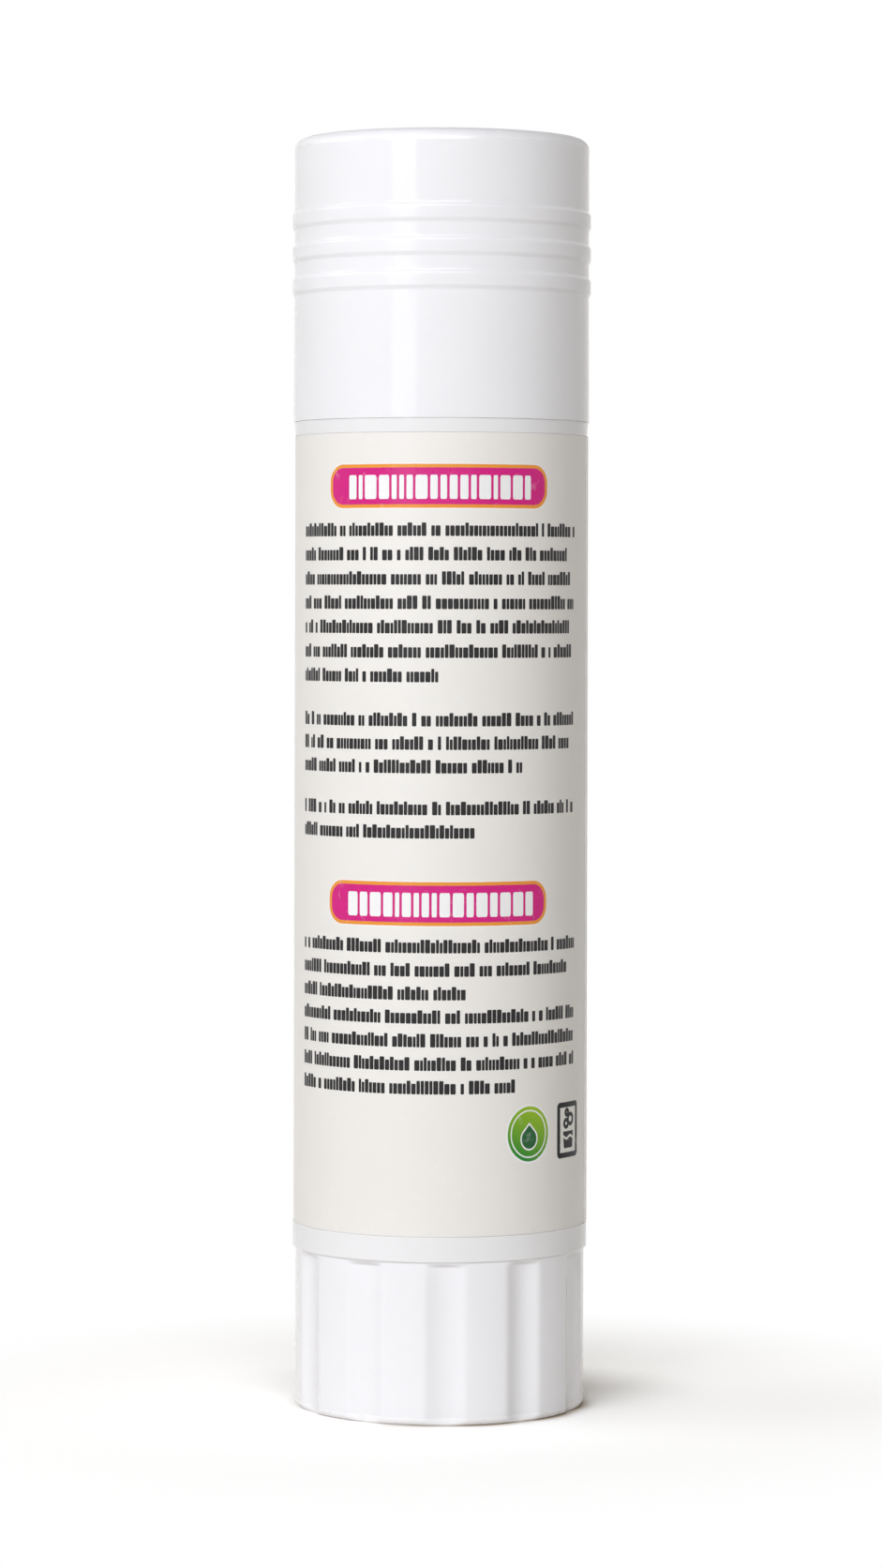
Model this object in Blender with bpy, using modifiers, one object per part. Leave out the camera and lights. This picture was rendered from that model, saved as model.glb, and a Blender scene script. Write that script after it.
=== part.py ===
"""Stain remover stick: a twist-up stick of soap in a capped round barrel.

The axis is Z, the stick stands on z = 0 and its front faces -Y.
"""
import bmesh
import bpy
from math import ceil, cos, pi, radians, sin
from mathutils import Matrix

MM = 0.001

# The three lengths that stack up to the whole height, and the barrel's radius, which sets
# the radius of everything that goes round it or into it
BASE_HEIGHT = 16.0 * MM
BODY_LENGTH = 84.05 * MM
CAP_LENGTH = 28.7 * MM
TUBE_RADIUS = 15.0 * MM

# Gaps between pieces: turning faces, sliding faces, faces that stay together
RUNNING_GAP = 0.15 * MM
SLIDE_GAP = 0.2 * MM
SEAT_GAP = 0.1 * MM
OVERRUN = 1.0 * MM
SMALL_EDGE = 0.2 * MM

# Cap, with a plug ring inside that closes the neck
CAP_STEP = 0.06 * MM
CAP_FLARE = 0.04 * MM
CAP_EDGE_RADIUS = 1.1 * MM
CAP_WALL = 1.2 * MM
CROWN_THICKNESS = 1.5 * MM
GRIP_RING_COUNT = 3
GRIP_RING_DROP = 7.5 * MM
GRIP_RING_PITCH = 3.35 * MM
GRIP_RING_WIDTH = 1.9 * MM
GRIP_RING_HEIGHT = 0.2 * MM
HEAD_SPACE = 6.3 * MM
PLUG_ENTRY = 1.6 * MM
PLUG_WALL = 0.9 * MM

# Barrel, with the floor that the spindle turns in and ribs that guide the elevator
NECK_WALL = 1.0 * MM
NECK_BEAD_HEIGHT = 0.08 * MM
NECK_BEAD_WIDTH = 1.5 * MM
NECK_BEAD_RISE = 3.0 * MM
SHOULDER_CHAMFER_WIDTH = 0.3 * MM
SHOULDER_CHAMFER_DROP = 0.5 * MM
SHOULDER_BAND = 1.2 * MM
COLLAR_BAND = 2.25 * MM
COLLAR_CHAMFER_WIDTH = 0.3 * MM
COLLAR_CHAMFER_RISE = 0.4 * MM
LABEL_RECESS = 0.2 * MM
FLOOR_RISE = 2.0 * MM
FLOOR_THICKNESS = 1.5 * MM
GUIDE_RIB_COUNT = 4
GUIDE_RIB_WIDTH = 1.2 * MM
GUIDE_RIB_HEIGHT = 0.6 * MM

# Label, lapped over itself to the right of the front
LABEL_THICKNESS = 0.08 * MM
LABEL_PLAY = 0.04 * MM
LABEL_LAP = 3.0 * MM
LABEL_RAMP = 4.0 * MM
LABEL_MARGIN = 0.1 * MM
SEAM_ANGLE = radians(80)

# Turning base
BASE_STEP = 0.27 * MM
BASE_WALL = 1.6 * MM
BASE_FLOOR = 1.6 * MM
BASE_EDGE_RADIUS = 1.1 * MM
LIP_WALL = 1.1 * MM
FOOT_WIDTH = 2.6 * MM
FOOT_RECESS = 0.5 * MM
FLUTE_COUNT = 11
FLUTE_DEPTH = 0.6 * MM
FLUTE_ROUND = 3.4 * MM
FIRST_FLUTE_ANGLE = radians(2.4)
HUB_WALL = 1.9 * MM
WEB_COUNT = 6
WEB_THICKNESS = 1.0 * MM
WEB_HEIGHT_SHARE = 0.7

# Spindle: a left-hand screw, so that the base, turned clockwise seen from below, lifts the stick
LEAD = 5.0 * MM
CORE_RADIUS = 2.6 * MM
CREST_RADIUS = 3.8 * MM
RIDGE_ROOT_WIDTH = 1.9 * MM
RIDGE_CREST_WIDTH = 1.1 * MM
THREAD_GAP = 0.25 * MM
JOURNAL_RADIUS = 4.3 * MM
FLANGE_RADIUS = 6.0 * MM
FLANGE_THICKNESS = 1.2 * MM
STEM_WIDTH = 6.0 * MM

# Elevator: the cup that holds the stick, with the nut as its hub
ELEVATOR_HEIGHT = 9.0 * MM
ELEVATOR_FLOOR = 1.4 * MM
ELEVATOR_RIM = 1.3 * MM
NUT_WALL = 1.25 * MM
FIN_COUNT = 4
FIN_THICKNESS = 0.8 * MM
FIN_HEIGHT = 3.0 * MM

# Stain stick
TIP_RADIUS = 1.6 * MM
TIP_DROP = 0.4 * MM
TIP_COVER = 8.9 * MM
BORE_GAP = 0.3 * MM

# Numbers of sides and steps
SHELL_SIDES = 56
INNER_SIDES = 40
TURN_STEPS = 16
FLUTE_SIDES = 40
LABEL_STEPS = 70
RAMP_STEPS = 4
ARC_STEPS = 4
HEX_SIDES = 6
MERGE_DISTANCE = 0.01 * MM

# Heights of the main faces
BARREL_BOTTOM = BASE_HEIGHT + RUNNING_GAP
SHOULDER = BARREL_BOTTOM + BODY_LENGTH
CAP_BOTTOM = SHOULDER + SEAT_GAP
CAP_TOP = CAP_BOTTOM + CAP_LENGTH
CROWN_INSIDE = CAP_TOP - CROWN_THICKNESS
NECK_TOP = CROWN_INSIDE - HEAD_SPACE
PLUG_BOTTOM = NECK_TOP - PLUG_ENTRY
STICK_TOP = PLUG_BOTTOM - TIP_DROP
LABEL_BOTTOM = BARREL_BOTTOM + COLLAR_BAND
LABEL_TOP = SHOULDER - SHOULDER_BAND
FLOOR_BOTTOM = BARREL_BOTTOM + FLOOR_RISE
FLOOR_TOP = FLOOR_BOTTOM + FLOOR_THICKNESS
HUB_TOP = FLOOR_BOTTOM - RUNNING_GAP
FLANGE_BOTTOM = FLOOR_TOP + RUNNING_GAP
FLANGE_TOP = FLANGE_BOTTOM + FLANGE_THICKNESS
ELEVATOR_BOTTOM = FLANGE_TOP + SLIDE_GAP
ELEVATOR_DECK = ELEVATOR_BOTTOM + ELEVATOR_FLOOR
ELEVATOR_TOP = ELEVATOR_BOTTOM + ELEVATOR_HEIGHT
SPINDLE_TOP = STICK_TOP - TIP_COVER
SOCKET_BOTTOM = BASE_FLOOR + FOOT_RECESS

# Radii of what fits into what, from the cap inwards
CAP_CROWN_RADIUS = TUBE_RADIUS + CAP_STEP
CAP_MOUTH_RADIUS = CAP_CROWN_RADIUS + CAP_FLARE
CAP_BORE = CAP_MOUTH_RADIUS - CAP_WALL
NECK_RADIUS = CAP_BORE - SLIDE_GAP
BARREL_BORE = NECK_RADIUS - NECK_WALL
GUIDE_RIB_INSIDE = BARREL_BORE - GUIDE_RIB_HEIGHT
PLUG_RADIUS = BARREL_BORE - SLIDE_GAP
STICK_RADIUS = BARREL_BORE - SLIDE_GAP
ELEVATOR_BORE = STICK_RADIUS - ELEVATOR_RIM
RECESS_RADIUS = TUBE_RADIUS - LABEL_RECESS
LIP_RADIUS = BARREL_BORE - RUNNING_GAP
BASE_RADIUS = TUBE_RADIUS - BASE_STEP
BASE_BORE = BASE_RADIUS - FLUTE_DEPTH - BASE_WALL
BEARING_RADIUS = JOURNAL_RADIUS + RUNNING_GAP
NUT_BORE = CREST_RADIUS + THREAD_GAP
NUT_RADIUS = NUT_BORE + NUT_WALL
SOCKET_WIDTH = STEM_WIDTH + 2 * SEAT_GAP


def hex_corner(width):
    """Corner radius of a hexagon measured across its flats."""
    return width / 2 / cos(pi / HEX_SIDES)


def around(count, first=0.0):
    return [first + 2 * pi * i / count for i in range(count)]


def clear_scene():
    for obj in list(bpy.data.objects):
        bpy.data.objects.remove(obj, do_unlink=True)


def new_collection(name):
    collection = bpy.data.collections.new(name)
    bpy.context.scene.collection.children.link(collection)
    return collection


def new_material(name, colour, roughness):
    material = bpy.data.materials.new(name)
    material.use_nodes = True
    shader = material.node_tree.nodes["Principled BSDF"]
    shader.inputs["Base Color"].default_value = (*colour, 1)
    shader.inputs["Roughness"].default_value = roughness
    shader.inputs["Metallic"].default_value = 0
    material.diffuse_color = (*colour, 1)
    return material


def new_object(name, mesh, collection, material=None):
    obj = bpy.data.objects.new(name, mesh)
    collection.objects.link(obj)
    if material is not None:
        mesh.materials.append(material)
    return obj


def new_empty(name, collection, children):
    """An empty on the axis that carries the pieces which move together."""
    empty = bpy.data.objects.new(name, None)
    collection.objects.link(empty)
    for child in children:
        child.parent = empty


def arc(centre_r, centre_z, radius, start, end):
    """Points (r, z) on a round edge, both ends included; angles in degrees."""
    angles = [radians(start + (end - start) * i / ARC_STEPS) for i in range(ARC_STEPS + 1)]
    return [(centre_r + radius * cos(angle), centre_z + radius * sin(angle)) for angle in angles]


def turned(name, profile, sides, collection, material, ring=False):
    """Turn (r, z) points about Z; the outer side runs top to bottom, and a ring is closed."""
    count = len(profile)
    edges = [(i, (i + 1) % count) for i in range(count if ring else count - 1)]
    mesh = bpy.data.meshes.new(name)
    mesh.from_pydata([(r, 0, z) for r, z in profile], edges, [])
    obj = new_object(name, mesh, collection, material)
    screw = obj.modifiers.new("turn", "SCREW")
    screw.axis = "Z"
    screw.steps = sides
    screw.render_steps = sides
    screw.use_merge_vertices = True
    screw.merge_threshold = MERGE_DISTANCE
    return obj


def boxes(name, places, collection):
    """One mesh of upright boxes, each given by angle, inner and outer radius, width, low, high."""
    mesh = bpy.data.meshes.new(name)
    work = bmesh.new()
    for angle, inside, outside, width, low, high in places:
        cube = bmesh.ops.create_cube(work, size=1)
        for vert in cube["verts"]:
            along = inside if vert.co.x < 0 else outside
            height = low if vert.co.z < 0 else high
            vert.co = (along, vert.co.y * width, height)
        bmesh.ops.rotate(work, verts=cube["verts"], matrix=Matrix.Rotation(angle, 3, "Z"))
    work.to_mesh(mesh)
    work.free()
    return new_object(name, mesh, collection)


def prisms(name, radius, sides, low, high, collection, centres=((0, 0),)):
    """One mesh of upright prisms of a corner radius, one at each centre."""
    mesh = bpy.data.meshes.new(name)
    work = bmesh.new()
    for x, y in centres:
        prism = bmesh.ops.create_cone(work, cap_ends=True, segments=sides, radius1=radius,
                                      radius2=radius, depth=high - low)
        bmesh.ops.translate(work, verts=prism["verts"], vec=(x, y, (high + low) / 2))
    work.to_mesh(mesh)
    work.free()
    return new_object(name, mesh, collection)


def helical_ridge(name, inside, outside, width_at, low, high, start, collection):
    """A closed left-hand ridge from height low to high, starting at the angle start."""
    section = [(r, side * width_at(r) / 2) for r, side in
               ((inside, -1), (outside, -1), (outside, 1), (inside, 1))]
    mesh = bpy.data.meshes.new(name)
    mesh.from_pydata([(r, 0, low + z) for r, z in section], [(0, 1), (1, 2), (2, 3), (3, 0)], [])
    sweep = new_object(name, mesh, collection)
    turns = (high - low) / LEAD
    screw = sweep.modifiers.new("helix", "SCREW")
    screw.axis = "Z"
    screw.angle = -2 * pi * turns
    screw.screw_offset = high - low
    screw.steps = ceil(TURN_STEPS * turns)
    screw.render_steps = screw.steps
    screw.use_merge_vertices = False
    graph = bpy.context.evaluated_depsgraph_get()
    swept = bpy.data.meshes.new_from_object(sweep.evaluated_get(graph))
    bpy.data.objects.remove(sweep, do_unlink=True)
    work = bmesh.new()
    work.from_mesh(swept)
    ends = [edge for edge in work.edges if edge.is_boundary]
    bmesh.ops.holes_fill(work, edges=ends, sides=len(section))
    bmesh.ops.recalc_face_normals(work, faces=work.faces)
    bmesh.ops.rotate(work, verts=work.verts, matrix=Matrix.Rotation(start, 3, "Z"))
    work.to_mesh(swept)
    work.free()
    return new_object(name, swept, collection)


def combine(target, tool, operation):
    """Join or cut with a helper object, which stays hidden among the cutters."""
    modifier = target.modifiers.new(tool.name, "BOOLEAN")
    modifier.operation = operation
    modifier.object = tool
    modifier.solver = "EXACT"
    tool.hide_render = True
    tool.display_type = "WIRE"


def ridge_width(radius):
    """Width of the spindle's ridge along the axis, narrower towards its crest."""
    share = (radius - CORE_RADIUS) / (CREST_RADIUS - CORE_RADIUS)
    return RIDGE_ROOT_WIDTH + (RIDGE_CREST_WIDTH - RIDGE_ROOT_WIDTH) * share


def nut_ridge_width(radius):
    """The nut's ridge fills the groove beside the spindle's ridge, less the gap on both sides."""
    return LEAD - ridge_width(radius) - 2 * THREAD_GAP


def rib_slots(name, low, high, collection):
    """Cutters that clear the barrel's guide ribs."""
    return boxes(name, [(angle, GUIDE_RIB_INSIDE - SLIDE_GAP, BARREL_BORE + OVERRUN,
                         GUIDE_RIB_WIDTH + 2 * SLIDE_GAP, low, high)
                        for angle in around(GUIDE_RIB_COUNT)], collection)


def fins(name, gap, inside, outside, low, collection):
    """The elevator's fins, or with a gap the cutters that clear them in the stick."""
    return boxes(name, [(angle, inside, outside, FIN_THICKNESS + 2 * gap, low,
                         ELEVATOR_DECK + FIN_HEIGHT + gap)
                        for angle in around(FIN_COUNT, pi / FIN_COUNT)], collection)


def make_cap(parts, material):
    crest = CAP_CROWN_RADIUS + GRIP_RING_HEIGHT
    profile = [(0, CAP_TOP)]
    profile += arc(CAP_CROWN_RADIUS - CAP_EDGE_RADIUS, CAP_TOP - CAP_EDGE_RADIUS,
                   CAP_EDGE_RADIUS, 90, 0)
    for i in range(GRIP_RING_COUNT):
        top = CAP_TOP - GRIP_RING_DROP - i * GRIP_RING_PITCH
        bottom = top - GRIP_RING_WIDTH
        profile += [(CAP_CROWN_RADIUS, top), (crest, top - SMALL_EDGE),
                    (crest, bottom + SMALL_EDGE), (CAP_CROWN_RADIUS, bottom)]
    profile += [(CAP_MOUTH_RADIUS, CAP_BOTTOM),
                (CAP_BORE + SMALL_EDGE, CAP_BOTTOM),
                (CAP_BORE, CAP_BOTTOM + SMALL_EDGE),
                (CAP_BORE, CROWN_INSIDE),
                (PLUG_RADIUS, CROWN_INSIDE),
                (PLUG_RADIUS, PLUG_BOTTOM + SMALL_EDGE),
                (PLUG_RADIUS - SMALL_EDGE, PLUG_BOTTOM),
                (PLUG_RADIUS - PLUG_WALL, PLUG_BOTTOM),
                (PLUG_RADIUS - PLUG_WALL, CROWN_INSIDE),
                (0, CROWN_INSIDE)]
    return turned("cap", profile, SHELL_SIDES, parts, material)


def make_barrel(parts, helpers, material):
    bead = NECK_RADIUS + NECK_BEAD_HEIGHT
    bead_middle = SHOULDER + NECK_BEAD_RISE
    profile = [(NECK_RADIUS - SMALL_EDGE, NECK_TOP),
               (NECK_RADIUS, NECK_TOP - SMALL_EDGE),
               (NECK_RADIUS, bead_middle + NECK_BEAD_WIDTH / 2),
               (bead, bead_middle),
               (NECK_RADIUS, bead_middle - NECK_BEAD_WIDTH / 2),
               (NECK_RADIUS, SHOULDER),
               (TUBE_RADIUS - SHOULDER_CHAMFER_WIDTH, SHOULDER),
               (TUBE_RADIUS, SHOULDER - SHOULDER_CHAMFER_DROP),
               (TUBE_RADIUS, LABEL_TOP),
               (RECESS_RADIUS, LABEL_TOP),
               (RECESS_RADIUS, LABEL_BOTTOM),
               (TUBE_RADIUS, LABEL_BOTTOM),
               (TUBE_RADIUS, BARREL_BOTTOM + COLLAR_CHAMFER_RISE),
               (TUBE_RADIUS - COLLAR_CHAMFER_WIDTH, BARREL_BOTTOM),
               (BARREL_BORE, BARREL_BOTTOM),
               (BARREL_BORE, FLOOR_BOTTOM),
               (BEARING_RADIUS, FLOOR_BOTTOM),
               (BEARING_RADIUS, FLOOR_TOP),
               (BARREL_BORE, FLOOR_TOP),
               (BARREL_BORE, NECK_TOP)]
    barrel = turned("barrel", profile, SHELL_SIDES, parts, material, ring=True)
    ribs = boxes("guide_ribs", [(angle, GUIDE_RIB_INSIDE, BARREL_BORE + NECK_WALL / 2,
                                 GUIDE_RIB_WIDTH, FLOOR_TOP - FLOOR_THICKNESS / 2,
                                 STICK_TOP - TIP_DROP)
                                for angle in around(GUIDE_RIB_COUNT)], helpers)
    combine(barrel, ribs, "UNION")
    return barrel


def make_label(parts, material):
    """A sheet wound clockwise round the recess, its outer end lapped over its inner end."""
    inside = RECESS_RADIUS + LABEL_PLAY
    lift = LABEL_THICKNESS + LABEL_PLAY
    lap = LABEL_LAP / RECESS_RADIUS
    ramp = LABEL_RAMP / RECESS_RADIUS
    wound = [((2 * pi - ramp) * i / LABEL_STEPS, inside) for i in range(LABEL_STEPS + 1)]
    wound += [(2 * pi - ramp + ramp * i / RAMP_STEPS, inside + lift * i / RAMP_STEPS)
              for i in range(1, RAMP_STEPS + 1)]
    wound += [(2 * pi + lap * i / RAMP_STEPS, inside + lift) for i in range(1, RAMP_STEPS + 1)]
    verts = []
    for turn, radius in wound:
        angle = SEAM_ANGLE + lap - turn - pi / 2
        for height in (LABEL_BOTTOM + LABEL_MARGIN, LABEL_TOP - LABEL_MARGIN):
            verts.append((radius * cos(angle), radius * sin(angle), height))
    faces = [(2 * i, 2 * i + 1, 2 * i + 3, 2 * i + 2) for i in range(len(wound) - 1)]
    mesh = bpy.data.meshes.new("label")
    mesh.from_pydata(verts, [], faces)
    label = new_object("label", mesh, parts, material)
    wall = label.modifiers.new("thickness", "SOLIDIFY")
    wall.thickness = LABEL_THICKNESS
    wall.offset = 1
    return label


def make_turning_base(parts, helpers, material):
    foot_inside = BASE_RADIUS - BASE_EDGE_RADIUS - FOOT_WIDTH
    profile = [(0, HUB_TOP),
               (hex_corner(SOCKET_WIDTH) + HUB_WALL, HUB_TOP),
               (hex_corner(SOCKET_WIDTH) + HUB_WALL, BASE_FLOOR),
               (BASE_BORE, BASE_FLOOR),
               (BASE_BORE, BASE_HEIGHT - LIP_WALL),
               (LIP_RADIUS - LIP_WALL, BASE_HEIGHT),
               (LIP_RADIUS - LIP_WALL, HUB_TOP),
               (LIP_RADIUS - SMALL_EDGE, HUB_TOP),
               (LIP_RADIUS, HUB_TOP - SMALL_EDGE),
               (LIP_RADIUS, BASE_HEIGHT),
               (BASE_RADIUS - SMALL_EDGE, BASE_HEIGHT),
               (BASE_RADIUS, BASE_HEIGHT - SMALL_EDGE)]
    profile += arc(BASE_RADIUS - BASE_EDGE_RADIUS, BASE_EDGE_RADIUS, BASE_EDGE_RADIUS, 0, -90)
    profile += [(foot_inside, 0),
                (foot_inside - FOOT_RECESS, FOOT_RECESS),
                (0, FOOT_RECESS)]
    base = turned("turning_base", profile, SHELL_SIDES, parts, material)
    web_top = BASE_FLOOR + (BASE_HEIGHT - BASE_FLOOR) * WEB_HEIGHT_SHARE
    webs = boxes("webs", [(angle, hex_corner(SOCKET_WIDTH) + HUB_WALL / 2, BASE_BORE + BASE_WALL / 2,
                           WEB_THICKNESS, BASE_FLOOR - FOOT_RECESS, web_top)
                          for angle in around(WEB_COUNT)], helpers)
    combine(base, webs, "UNION")
    reach = BASE_RADIUS - FLUTE_DEPTH + FLUTE_ROUND
    centres = [(reach * sin(angle), -reach * cos(angle))
               for angle in around(FLUTE_COUNT, FIRST_FLUTE_ANGLE)]
    flutes = prisms("flutes", FLUTE_ROUND, FLUTE_SIDES, -OVERRUN, BASE_HEIGHT + OVERRUN,
                    helpers, centres)
    combine(base, flutes, "DIFFERENCE")
    socket = prisms("socket", hex_corner(SOCKET_WIDTH), HEX_SIDES, SOCKET_BOTTOM,
                    HUB_TOP + OVERRUN, helpers)
    combine(base, socket, "DIFFERENCE")
    return base


def make_spindle(parts, helpers, material):
    profile = [(0, SPINDLE_TOP),
               (CORE_RADIUS - SMALL_EDGE, SPINDLE_TOP),
               (CORE_RADIUS, SPINDLE_TOP - SMALL_EDGE),
               (CORE_RADIUS, FLANGE_TOP),
               (FLANGE_RADIUS, FLANGE_TOP),
               (FLANGE_RADIUS, FLANGE_BOTTOM),
               (JOURNAL_RADIUS, FLANGE_BOTTOM),
               (JOURNAL_RADIUS, HUB_TOP + SEAT_GAP),
               (0, HUB_TOP + SEAT_GAP)]
    spindle = turned("spindle", profile, TURN_STEPS, parts, material)
    stem = prisms("stem", hex_corner(STEM_WIDTH), HEX_SIDES, SOCKET_BOTTOM + SEAT_GAP,
                  FLANGE_BOTTOM, helpers)
    combine(spindle, stem, "UNION")
    ridge = helical_ridge("ridge", CORE_RADIUS - SMALL_EDGE, CREST_RADIUS, ridge_width,
                          FLANGE_TOP + RIDGE_ROOT_WIDTH, SPINDLE_TOP - RIDGE_ROOT_WIDTH, 0, helpers)
    combine(spindle, ridge, "UNION")
    return spindle


def make_elevator(parts, helpers, material):
    profile = [(STICK_RADIUS, ELEVATOR_TOP),
               (STICK_RADIUS, ELEVATOR_BOTTOM + SMALL_EDGE),
               (STICK_RADIUS - SMALL_EDGE, ELEVATOR_BOTTOM),
               (NUT_BORE + SMALL_EDGE, ELEVATOR_BOTTOM),
               (NUT_BORE, ELEVATOR_BOTTOM + SMALL_EDGE),
               (NUT_BORE, ELEVATOR_TOP),
               (NUT_RADIUS, ELEVATOR_TOP),
               (NUT_RADIUS, ELEVATOR_DECK),
               (ELEVATOR_BORE, ELEVATOR_DECK),
               (ELEVATOR_BORE, ELEVATOR_TOP)]
    elevator = turned("elevator", profile, INNER_SIDES, parts, material, ring=True)
    combine(elevator, fins("fins", 0, NUT_RADIUS - NUT_WALL / 2, ELEVATOR_BORE + ELEVATOR_RIM / 2,
                           ELEVATOR_BOTTOM + ELEVATOR_FLOOR / 2, helpers), "UNION")
    root = NUT_BORE + NUT_WALL / 2
    low = ELEVATOR_BOTTOM + SMALL_EDGE + nut_ridge_width(root) / 2
    high = ELEVATOR_TOP - SMALL_EDGE - nut_ridge_width(root) / 2
    half_way = FLANGE_TOP + RIDGE_ROOT_WIDTH + LEAD / 2
    start = 2 * pi * (half_way - low) / LEAD
    ridge = helical_ridge("nut_ridge", CORE_RADIUS + THREAD_GAP, root, nut_ridge_width,
                          low, high, start, helpers)
    combine(elevator, ridge, "UNION")
    combine(elevator, rib_slots("elevator_slots", ELEVATOR_BOTTOM - OVERRUN,
                                ELEVATOR_TOP + OVERRUN, helpers), "DIFFERENCE")
    return elevator


def make_stain_stick(parts, helpers, material):
    bore = CREST_RADIUS + BORE_GAP
    bore_top = SPINDLE_TOP + BORE_GAP
    profile = [(0, STICK_TOP)]
    profile += arc(STICK_RADIUS - TIP_RADIUS, STICK_TOP - TIP_RADIUS, TIP_RADIUS, 90, 0)
    profile += [(STICK_RADIUS, ELEVATOR_TOP + SEAT_GAP),
                (ELEVATOR_BORE - SEAT_GAP, ELEVATOR_TOP + SEAT_GAP),
                (ELEVATOR_BORE - SEAT_GAP, ELEVATOR_DECK + SEAT_GAP),
                (NUT_RADIUS + SEAT_GAP, ELEVATOR_DECK + SEAT_GAP),
                (NUT_RADIUS + SEAT_GAP, ELEVATOR_TOP + SEAT_GAP),
                (bore, ELEVATOR_TOP + SEAT_GAP),
                (bore, bore_top),
                (0, bore_top)]
    stick = turned("stain_stick", profile, INNER_SIDES, parts, material)
    combine(stick, rib_slots("stick_slots", ELEVATOR_DECK, STICK_TOP + OVERRUN, helpers),
            "DIFFERENCE")
    combine(stick, fins("fin_slots", SEAT_GAP, NUT_RADIUS - NUT_WALL / 2,
                        ELEVATOR_BORE + ELEVATOR_RIM / 2, ELEVATOR_BOTTOM, helpers), "DIFFERENCE")
    return stick


def main():
    clear_scene()
    parts = new_collection("stain_remover_stick")
    helpers = new_collection("cutters")
    white = new_material("white_plastic", (0.88, 0.88, 0.91), 0.28)
    paper = new_material("label_film", (0.87, 0.85, 0.81), 0.42)
    natural = new_material("inner_plastic", (0.82, 0.83, 0.84), 0.4)
    soap = new_material("soap", (0.86, 0.82, 0.7), 0.55)
    cap = make_cap(parts, white)
    barrel = make_barrel(parts, helpers, white)
    make_label(parts, paper)
    base = make_turning_base(parts, helpers, white)
    spindle = make_spindle(parts, helpers, natural)
    elevator = make_elevator(parts, helpers, natural)
    stick = make_stain_stick(parts, helpers, soap)
    new_empty("base_axis", parts, (base, spindle))
    new_empty("carriage_axis", parts, (elevator, stick))
    new_empty("cap_axis", parts, (cap,))
    for piece in (cap, barrel, base, spindle, elevator, stick):
        piece.data.shade_smooth()


main()
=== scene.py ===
from math import cos, pi, radians, sin, sqrt, tan

import bmesh
import bpy
from mathutils import Matrix, Vector


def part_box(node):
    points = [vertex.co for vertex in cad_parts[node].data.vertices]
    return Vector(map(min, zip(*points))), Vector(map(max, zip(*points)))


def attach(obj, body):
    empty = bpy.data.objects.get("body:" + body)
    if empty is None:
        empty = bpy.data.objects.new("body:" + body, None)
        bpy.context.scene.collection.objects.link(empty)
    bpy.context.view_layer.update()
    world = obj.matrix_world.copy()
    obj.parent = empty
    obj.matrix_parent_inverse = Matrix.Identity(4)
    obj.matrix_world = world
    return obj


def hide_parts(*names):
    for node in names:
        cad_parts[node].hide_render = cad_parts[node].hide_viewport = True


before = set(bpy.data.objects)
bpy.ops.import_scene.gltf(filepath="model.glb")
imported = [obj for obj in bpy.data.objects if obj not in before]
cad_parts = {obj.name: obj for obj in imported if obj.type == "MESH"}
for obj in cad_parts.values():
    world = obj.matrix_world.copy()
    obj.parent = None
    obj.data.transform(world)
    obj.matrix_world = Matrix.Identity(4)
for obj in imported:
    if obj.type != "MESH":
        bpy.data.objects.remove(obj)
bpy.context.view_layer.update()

# Twist-up stain remover stick: white capped tube with grip rings, printed wrap, fluted turning base.
# The stick stands on z = 0, its axis is z and the front of the wrap faces -y.

mm = 0.001
um = mm / 1000
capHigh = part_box("cap")[1]
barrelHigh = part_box("barrel")[1]
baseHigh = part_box("turning_base")[1]
soapLow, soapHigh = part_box("stain_stick")


def sizesInMm(sizes, **lengths):
    # counts and angles stay as they are, and the lengths of a piece are turned from mm into metres
    for name, length in lengths.items():
        sizes[name] = tuple(part * mm for part in length) if isinstance(length, tuple) else length * mm
    return sizes


# Node helpers: a Field is a socket that can be written as plain arithmetic, in any node tree

def plug(tree, value, slot):
    # value is a Field, a socket, a node (its first output is used) or a plain value
    if isinstance(value, Field):
        value = value.socket
    elif isinstance(value, bpy.types.Node):
        value = value.outputs[0]
    if isinstance(value, bpy.types.NodeSocket):
        tree.links.new(value, slot)
    else:
        slot.default_value = value


def addNode(tree, kind, settings=None, **inputs):
    node = tree.nodes.new(kind)
    for key, value in (settings or {}).items():
        setattr(node, key, value)
    for key, value in inputs.items():
        plug(tree, value, node.inputs[key.replace("_", " ")])
    return node


def feed(tree, kind, settings, *values):
    # a node whose inputs are given in their own order; gives its first output
    node = addNode(tree, kind, settings)
    for slot, value in zip(node.inputs, values):
        plug(tree, value, slot)
    return node.outputs[0]


def calc(tree, operation, *values):
    return Field(tree, feed(tree, "ShaderNodeMath", {"operation": operation}, *values))


class Field:
    def __init__(self, tree, socket):
        self.tree, self.socket = tree, socket

    def ramp(self, low, high, start=0.0, end=1.0, smooth=False):
        settings = {"interpolation_type": "SMOOTHSTEP" if smooth else "LINEAR"}
        return Field(self.tree, feed(self.tree, "ShaderNodeMapRange", settings, self, low, high, start, end))


def addMethod(name, operation, turned=False):
    def method(self, *others):
        return calc(self.tree, operation, *((*others, self) if turned else (self, *others)))
    setattr(Field, name, method)


for methodName, mathName in {
        "__add__": "ADD", "__sub__": "SUBTRACT", "__mul__": "MULTIPLY", "__truediv__": "DIVIDE",
        "size": "ABSOLUTE", "root": "SQRT", "larger": "MAXIMUM", "smaller": "MINIMUM",
        "sine": "SINE", "cosine": "COSINE"}.items():
    addMethod(methodName, mathName)
for methodName, mathName in {"__radd__": "ADD", "__rsub__": "SUBTRACT", "__rmul__": "MULTIPLY"}.items():
    addMethod(methodName, mathName, True)


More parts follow.
